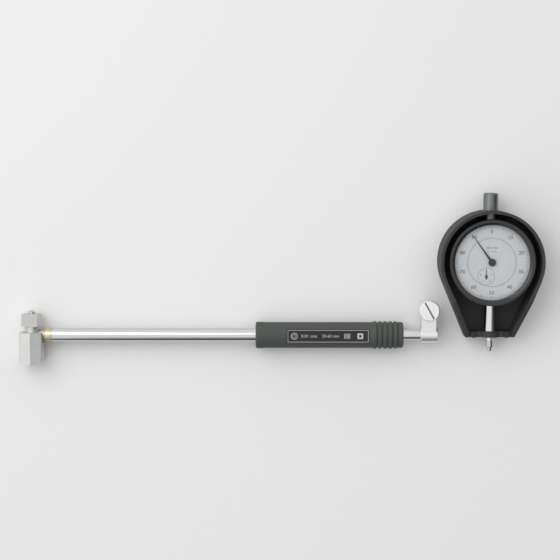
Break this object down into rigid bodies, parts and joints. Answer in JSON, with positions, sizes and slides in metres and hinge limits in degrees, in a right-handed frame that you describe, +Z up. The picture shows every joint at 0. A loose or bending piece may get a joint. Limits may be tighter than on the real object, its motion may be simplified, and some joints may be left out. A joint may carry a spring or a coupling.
{
  "type": "dial bore gauge",
  "caption": "Two-point dial bore gauge: sprung head with anvil on a long tube, grip and stem clamp, with its dial indicator in a guard lying beside it",
  "frame": {"origin": "middle of the measuring head, where the measuring line crosses the tube axis", "axes": "+X along the tube towards the grip, +Y along the measuring line towards the anvil, +Z up"},
  "size_m": [0.3478, 0.1153, 0.027],
  "materials": {
    "satin_steel": "satin nickel steel",
    "bright_steel": "polished steel",
    "satin_chrome": "satin chrome tube",
    "bright_alloy": "bright metal clamp",
    "bronze": "champagne bronze ring",
    "grip_plastic": "matt dark moulded grip",
    "label": "printed plate",
    "guard_plastic": "black moulded guard",
    "bezel_plastic": "black turning bezel",
    "case_alloy": "cast case",
    "dial_face": "printed dial",
    "hand_black": "black hand",
    "gear_brass": "brass gear",
    "spring_steel": "spring wire",
    "crystal": "clear dial cover",
    "hard_metal": "hard contact ends"
  },
  "bodies": {
    "frame": {"head_body": "satin_steel", "crank_pin": "bright_steel", "guide_pin": "bright_steel", "guide_spring_1": "spring_steel", "guide_spring_2": "spring_steel", "anvil": "hard_metal", "anvil_washer": "satin_steel", "anvil_nut": "satin_steel", "head_collar": "bronze", "stem_tube": "satin_chrome", "tube_bush": "gear_brass", "bush_pin": "bright_steel", "rod_spring": "spring_steel", "handle_core": "case_alloy", "grip_sleeve": "grip_plastic", "label_plate": "label", "neck_tube": "bright_steel", "neck_bush": "gear_brass", "stem_clamp": "bright_alloy", "guard_shell": "guard_plastic", "guard_strap": "guard_plastic", "strap_screw_1": "bright_steel", "strap_screw_2": "bright_steel", "back_cover": "case_alloy", "dial_case": "case_alloy", "stem": "bright_steel", "spindle_cap": "guard_plastic", "hairspring": "spring_steel", "movement_plate": "gear_brass", "pinion_bridge": "gear_brass", "guide_rail": "case_alloy", "return_spring": "spring_steel", "spring_post": "bright_steel", "dial_plate": "dial_face"},
    "contact": {"contact_plunger": "bright_steel", "contact_tip": "hard_metal"},
    "crank": {"bell_crank": "bright_steel"},
    "rod": {"push_rod": "bright_steel", "rod_tip": "hard_metal", "rod_collar": "gear_brass"},
    "shoe": {"guide_shoe": "satin_steel"},
    "screw": {"clamp_screw": "bright_steel"},
    "spindle_body": {"spindle": "bright_steel", "contact_point": "hard_metal", "spindle_pin": "bright_steel"},
    "counter": {"counter_gear": "gear_brass", "counter_hand": "hand_black"},
    "pointer": {"centre_pinion": "gear_brass", "main_hand": "hand_black"},
    "takeup": {"takeup_gear": "gear_brass"},
    "bezel_body": {"bezel": "bezel_plastic", "crystal": "crystal", "scale_ring": "dial_face"}
  },
  "joints": [
    {"name": "rod_slide", "type": "slide", "parent": "frame", "child": "rod", "axis": [1, 0, 0], "range_m": [0, 0.0012], "stiffness_N_per_m": 200, "springref_m": -0.006, "deforming": ["rod_spring"]},
    {"name": "contact_slide", "type": "slide", "parent": "frame", "child": "contact", "axis": [0, 1, 0], "range_m": [0, 0.0012]},
    {"name": "crank_turn", "type": "hinge", "parent": "frame", "child": "crank", "pos_m": [0.0036, -0.0036, 0], "axis": [0, 0, 1], "range_deg": [-19.2, 0]},
    {"name": "shoe_slide", "type": "slide", "parent": "frame", "child": "shoe", "axis": [0, 1, 0], "range_m": [0, 0.0015], "stiffness_N_per_m": 400, "springref_m": -0.006, "deforming": ["guide_spring_1", "guide_spring_2"]},
    {"name": "clamp_screw_turn", "type": "hinge", "parent": "frame", "child": "screw", "pos_m": [0.2654, 0.0169, 0.005], "axis": [0, 0, 1], "range_deg": [0, 540]},
    {"name": "spindle_slide", "type": "slide", "parent": "frame", "child": "spindle_body", "axis": [0, 1, 0], "range_m": [0, 0.0042], "stiffness_N_per_m": 40, "springref_m": -0.02, "deforming": ["return_spring"]},
    {"name": "pointer_turn", "type": "hinge", "parent": "frame", "child": "pointer", "pos_m": [0.3059, 0.0494, 0.003], "axis": [0, 0, 1], "range_deg": [-1513, 0]},
    {"name": "counter_turn", "type": "hinge", "parent": "frame", "child": "counter", "pos_m": [0.30231, 0.0401, 0.003], "axis": [0, 0, 1], "range_deg": [0, 152]},
    {"name": "takeup_turn", "type": "hinge", "parent": "frame", "child": "takeup", "pos_m": [0.31047, 0.05235, 0.003], "axis": [0, 0, 1], "range_deg": [0, 303]},
    {"name": "bezel_turn", "type": "hinge", "parent": "frame", "child": "bezel_body", "pos_m": [0.3059, 0.0494, 0.012], "axis": [0, 0, 1], "continuous": true}
  ],
  "couplings": [
    {"joint": "contact_slide", "follows": "rod_slide", "ratio": 1},
    {"joint": "crank_turn", "follows": "rod_slide", "rad_per_m": -277.78},
    {"joint": "counter_turn", "follows": "spindle_slide", "rad_per_m": 628.32},
    {"joint": "pointer_turn", "follows": "spindle_slide", "rad_per_m": -6283.2},
    {"joint": "takeup_turn", "follows": "spindle_slide", "rad_per_m": 1256.6}
  ]
}
